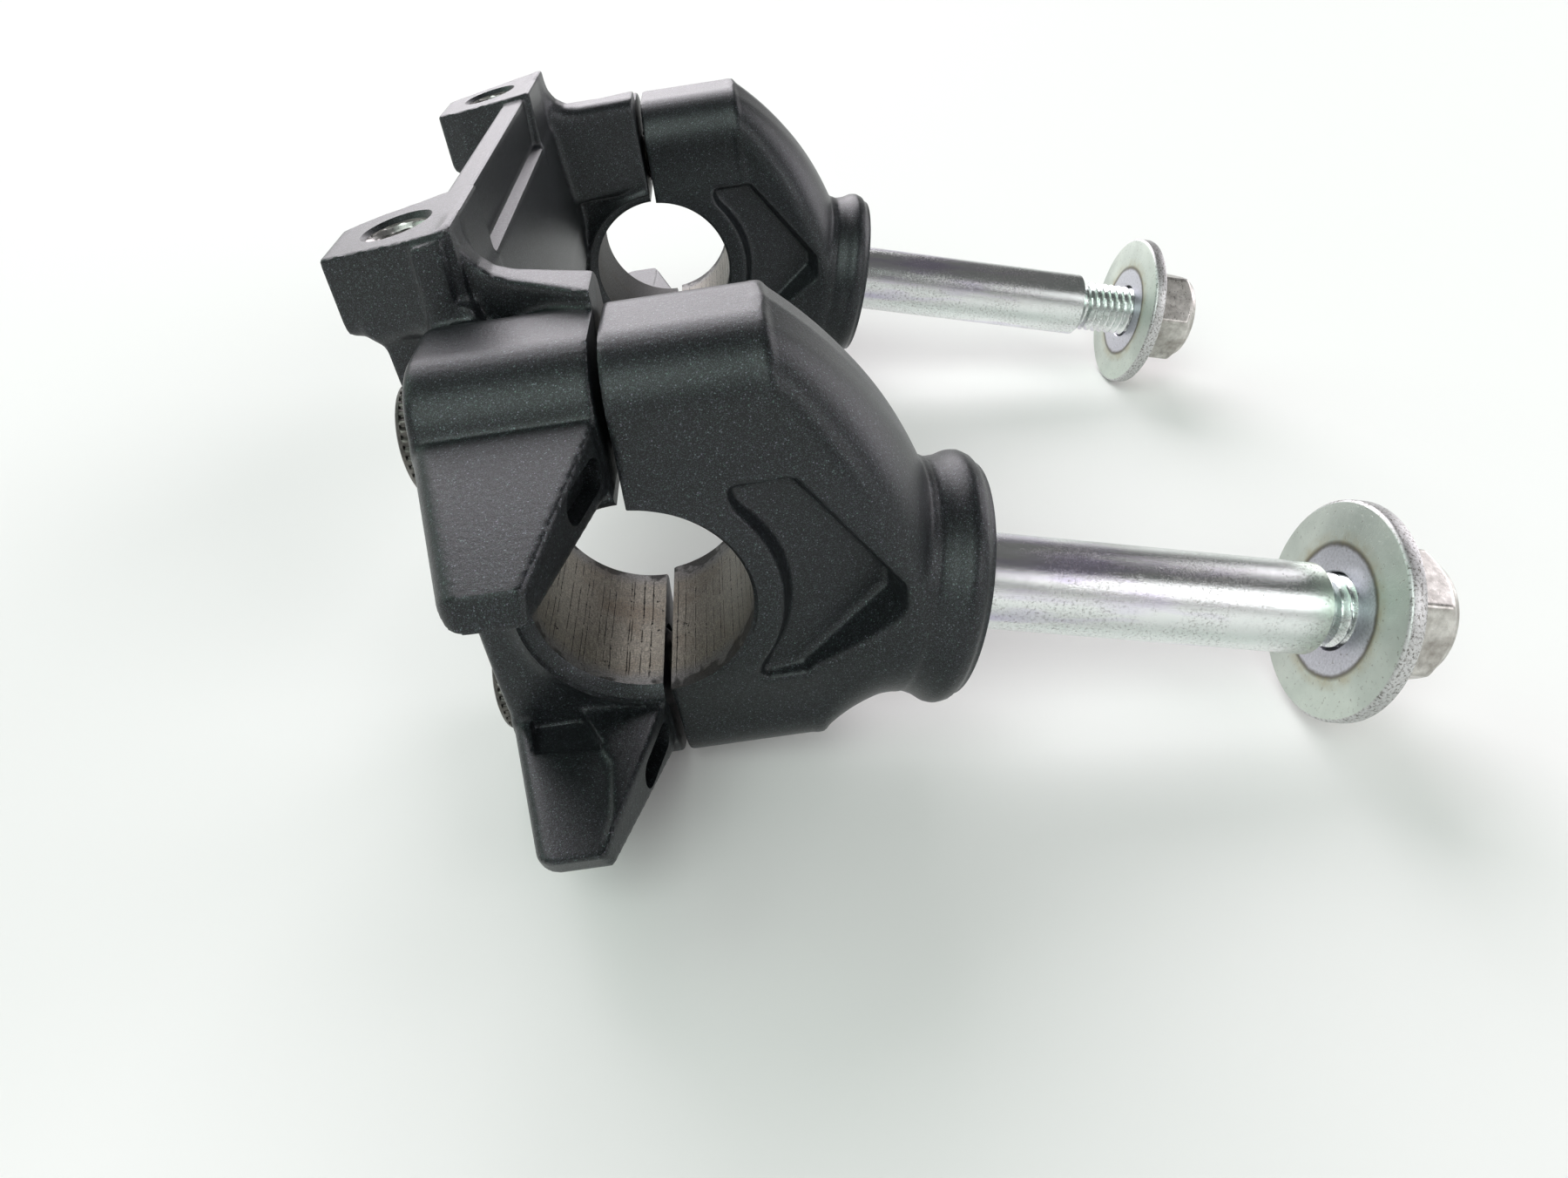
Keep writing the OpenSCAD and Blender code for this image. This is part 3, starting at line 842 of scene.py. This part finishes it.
def shifted(place, x=0.0, y=0.0, z=0.0):
    """The place moved by millimetres along its own axes."""
    return place @ Matrix.Translation(Vector((x, y, z)) * MM)


def make_studs():
    """Studs: a plain shank, a relief groove and a thread."""
    bevel, groove_r = 0.9, 4.1
    crest = profile_radius([(STUD_START - 0.5, SHANK_R), (SHANK_END - bevel, SHANK_R),
                            (SHANK_END, SHANK_R - bevel), (SHANK_END + 0.05, groove_r),
                            (SHANK_END + 1.0, groove_r), (SHANK_END + 1.3, THREAD_R),
                            (STUD_END - 1, THREAD_R), (STUD_END, groove_r)])

    def radius_at(x, turn):
        top = crest(x)
        if x < SHANK_END + 0.1:
            return top + 0 * turn
        return np.minimum(top, THREAD_R - ridge(x, turn, THREAD_PITCH, 0.92))

    xs = np.concatenate([np.linspace(STUD_START, SHANK_END - 1.2, 40),
                         np.linspace(SHANK_END - bevel, SHANK_END, 6),
                         np.arange(SHANK_END + 0.1, STUD_END, 0.1), [STUD_END]])
    for side in ("left", "right"):
        stud = lathe("stud_bolt_" + side, xs, radius_at, shifted(STUD[side], z=STUD_Z), SHANK)
        finish_mesh(stud, 40)
        claim(stud, "stud_" + side, "riser_" + side)


def claim(piece, node, body):
    """Let the piece stand in for a CAD node on its body."""
    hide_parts(node)
    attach(piece, body)


def washer_face(side):
    """Distance along the stud of the washer's near face, from the CAD washer."""
    lo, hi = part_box("washer_" + side)
    centre = (lo + hi) / 2
    return (centre - mount_place("bar_clamp_" + side)).dot(STUD_DIR) / MM - WASHER_H / 2


def make_washers():
    """Flat washers with rounded rims."""
    outer, thick, hole, edge = 15, WASHER_H, 5.3, 0.45
    xs = np.array([0, 0.06, 0.15, 0.3, 0.5, thick / 2, thick - 0.5, thick - 0.25, thick - 0.08, thick])
    drill = [(-1, hole + 1), (0.25, hole), (thick - 0.25, hole), (thick + 1, hole + 1)]

    def radius_at(x, turn):
        return outer - edge * max(0, 1 - min(x, thick - x) / edge) ** 2

    for side in ("left", "right"):
        piece = lathe("plain_washer_" + side, xs, radius_at,
                      shifted(STUD[side], washer_face(side), 0, STUD_Z), WASHER, 160)
        machine(piece, "hole", lambda bm: turned(bm, drill, (1, 0, 0), sides=96))
        finish_mesh(piece)
        claim(piece, "washer_" + side, "washer_" + side)


def nut_field(x, y, z):
    """Field of a lock nut: chamfered hexagon with a domed collar."""
    hexagon = np.abs(z)
    for turn in (60, -60):
        a = math.radians(turn)
        hexagon = smax(hexagon, np.abs(z * math.cos(a) + y * math.sin(a)), 0.5)
    hexagon = hexagon - NUT_HALF
    radius = np.hypot(y, z)
    corner = NUT_HALF / math.cos(math.radians(30))
    lower_cone = radius - corner + 1.2 - x * 1.5
    upper_cone = radius - corner + 1.45 - (HEX_H - x) * 1.1
    cones = np.maximum(lower_cone, upper_cone) * 0.6
    block = smax(smax(hexagon, np.maximum(-x, x - HEX_H), 0.3), cones, 0.3)
    collar = smax(radius - COLLAR_R, np.maximum(1 - x, x - NUT_H), 1.6)
    return smin(block, collar, 0.3)


def make_nuts():
    """Lock nuts, each turned to its own angle, round the CAD's nylon rings."""
    step = 0.18
    lows, highs = (-0.9, -10.4, -10.4), (11.2, 10.4, 10.4)
    points, quads = surface_net(nut_field(*grid(lows, highs, step)), lows, step)
    ring_end, drill_r, seat_r, mouth_r = NUT_H - 0.6, 5.05, 6.62, 5.9
    drill = [(-1, 6.2), (0.5, drill_r), (ring_end - 2.4, drill_r), (ring_end - 2.39, seat_r),
             (ring_end, seat_r), (ring_end + 0.01, mouth_r), (NUT_H + 1, mouth_r)]
    for side, roll in (("left", 16), ("right", 47)):
        place = shifted(STUD[side], washer_face(side) + WASHER_H, 0, STUD_Z)
        place = place @ Matrix.Rotation(math.radians(roll), 4, "X")
        piece = new_piece("lock_nut_body_" + side, mesh_from("lock_nut_" + side, points, quads), place)
        piece.data.materials.append(NUT)
        machine(piece, "hole", lambda bm: turned(bm, drill, (1, 0, 0), sides=96))
        finish_mesh(piece)
        claim(piece, "lock_nut_" + side, "lock_nut_" + side)
        ring = frame["nodes"]["nylon_ring_" + side]
        ring.data.materials.clear()
        ring.data.materials.append(NYLON)


def make_screws():
    """Socket screws with knurled heads."""
    head_top, head_seat, end = -22.5, -14.5, 15.5
    head_r, knurls, thread_from = 6.5, 36, -6
    socket = [(head_top - 1, 3.46), (head_top + 4.2, 3.46)]
    outer = profile_radius([(head_top, head_r - 0.9), (head_top + 0.25, head_r - 0.35),
                            (head_top + 0.8, head_r), (head_seat - 0.3, head_r),
                            (head_seat, head_r - 0.3), (head_seat + 0.01, SCREW_R + 0.3),
                            (head_seat + 0.4, SCREW_R), (end - 1, SCREW_R), (end, SCREW_R - 0.8)])

    def radius_at(x, turn):
        top = outer(x)
        if head_top + 0.7 < x < head_seat - 0.6:
            return top - 0.32 * np.abs((turn * knurls / (2 * math.pi)) % 1 - 0.5) * 2
        if x > thread_from:
            return np.minimum(top, SCREW_R - ridge(x, turn, COARSE_PITCH, 0.7))
        return top + 0 * turn

    xs = np.concatenate([np.linspace(head_top, head_top + 0.7, 8),
                         np.linspace(head_top + 0.9, head_seat - 0.7, 8),
                         np.linspace(head_seat - 0.5, head_seat, 5),
                         [head_seat + 0.01, head_seat + 0.4, thread_from - 2, thread_from - 0.1],
                         np.arange(thread_from + 0.1, end, 0.1), [end]])
    for side in ("left", "right"):
        for row, z in (("upper", SCREW_OFFSET), ("lower", -SCREW_OFFSET)):
            name = f"{row}_{side}"
            piece = lathe("socket_screw_" + name, xs, radius_at, shifted(GRIP[side], z=z), SCREW, 216)
            machine(piece, "socket", lambda bm: turned(bm, socket, (1, 0, 0), sides=6))
            finish_mesh(piece, 40)
            claim(piece, "screw_" + name, "screw_" + name)


make_risers()
make_top_clamp()
make_studs()
make_washers()
make_nuts()
make_screws()


# ---------------------------------------------------------------- floor, light and camera
def soft_light(name, toward, spread, power, colour):
    """Distant studio window, spread degrees wide, seen in the direction toward."""
    data = bpy.data.lights.new(name, "SUN")
    data.angle = math.radians(spread)
    data.energy = power
    data.color = colour
    obj = bpy.data.objects.new(name, data)
    bpy.context.scene.collection.objects.link(obj)
    obj.location = Vector(toward).normalized()
    obj.rotation_euler = Vector(toward).to_track_quat("Z", "Y").to_euler()


def make_floor():
    """Plain pale floor."""
    bm = bmesh.new()
    bmesh.ops.create_grid(bm, x_segments=2, y_segments=2, size=6)
    mesh = bpy.data.meshes.new("floor")
    bm.to_mesh(mesh)
    bm.free()
    floor = bpy.data.objects.new("floor", mesh)
    bpy.context.scene.collection.objects.link(floor)
    n = Nodes("pale_floor")
    grain = n.noise(n.place(), 900, 3)
    n.set(Base_Color=(0.89, 0.885, 0.87, 1), Roughness=0.8, Specular_IOR_Level=0.15)
    n.bump(grain, 0.15, 0.00008)
    mesh.materials.append(n.material)


def make_lights():
    """Pale room that is darker overhead, and soft windows behind, in front and at both sides."""
    world = bpy.data.worlds.new("studio")
    bpy.context.scene.world = world
    world.use_nodes = True
    tree = world.node_tree
    room = tree.nodes["Background"]
    room.inputs["Color"].default_value = (0.97, 0.97, 0.96, 1)
    direction = tree.nodes.new("ShaderNodeTexCoord")
    split = tree.nodes.new("ShaderNodeSeparateXYZ")
    fade = tree.nodes.new("ShaderNodeMapRange")
    tree.links.new(direction.outputs["Generated"], split.inputs[0])
    tree.links.new(split.outputs["Z"], fade.inputs["Value"])
    tree.links.new(fade.outputs["Result"], room.inputs["Strength"])
    for name, value in (("From Min", 0.05), ("From Max", 0.4), ("To Min", 0.88), ("To Max", 0.13)):
        fade.inputs[name].default_value = value
    soft_light("back_window", (-0.25, 0.98, 0.62), 50, 2.35, (1, 0.955, 1))
    soft_light("right_window", (0.95, 0.42, 0.4), 40, 0.9, (1, 0.95, 1))
    soft_light("left_window", (-0.95, 0.3, 0.62), 40, 0.45, (0.75, 1, 0.85))
    soft_light("front_window", (-0.35, -0.68, 0.75), 46, 1.45, (0.88, 1, 0.94))
    soft_light("front_right", (0.85, -0.65, 0.6), 30, 0.6, (1, 0.98, 1))
    bpy.context.scene.view_settings.view_transform = "Standard"


def make_camera():
    """Camera at the photograph's angle, placed from the left clamp's bore in the studs' frame."""
    azimuth, elevation, roll = (math.radians(a) for a in (-10.0, 35.0, 10.6))
    stand = Vector((-1.5, -109.8, 73.1)) * MM
    level = math.cos(elevation)
    back = Vector((math.sin(azimuth) * level, -math.cos(azimuth) * level, math.sin(elevation)))
    right = Vector((math.cos(azimuth), math.sin(azimuth), 0))
    up = back.cross(right)
    right, up = (math.cos(roll) * right + math.sin(roll) * up,
                 math.cos(roll) * up - math.sin(roll) * right)
    turn = Matrix((right, up, back)).transposed().to_4x4()
    data = bpy.data.cameras.new("camera")
    data.sensor_width = 36
    data.lens = 24.63
    data.clip_start = 0.005
    camera = bpy.data.objects.new("camera", data)
    bpy.context.scene.collection.objects.link(camera)
    camera.matrix_world = STUD["left"] @ Matrix.Translation(stand) @ turn
    bpy.context.scene.camera = camera


make_floor()
make_lights()
make_camera()
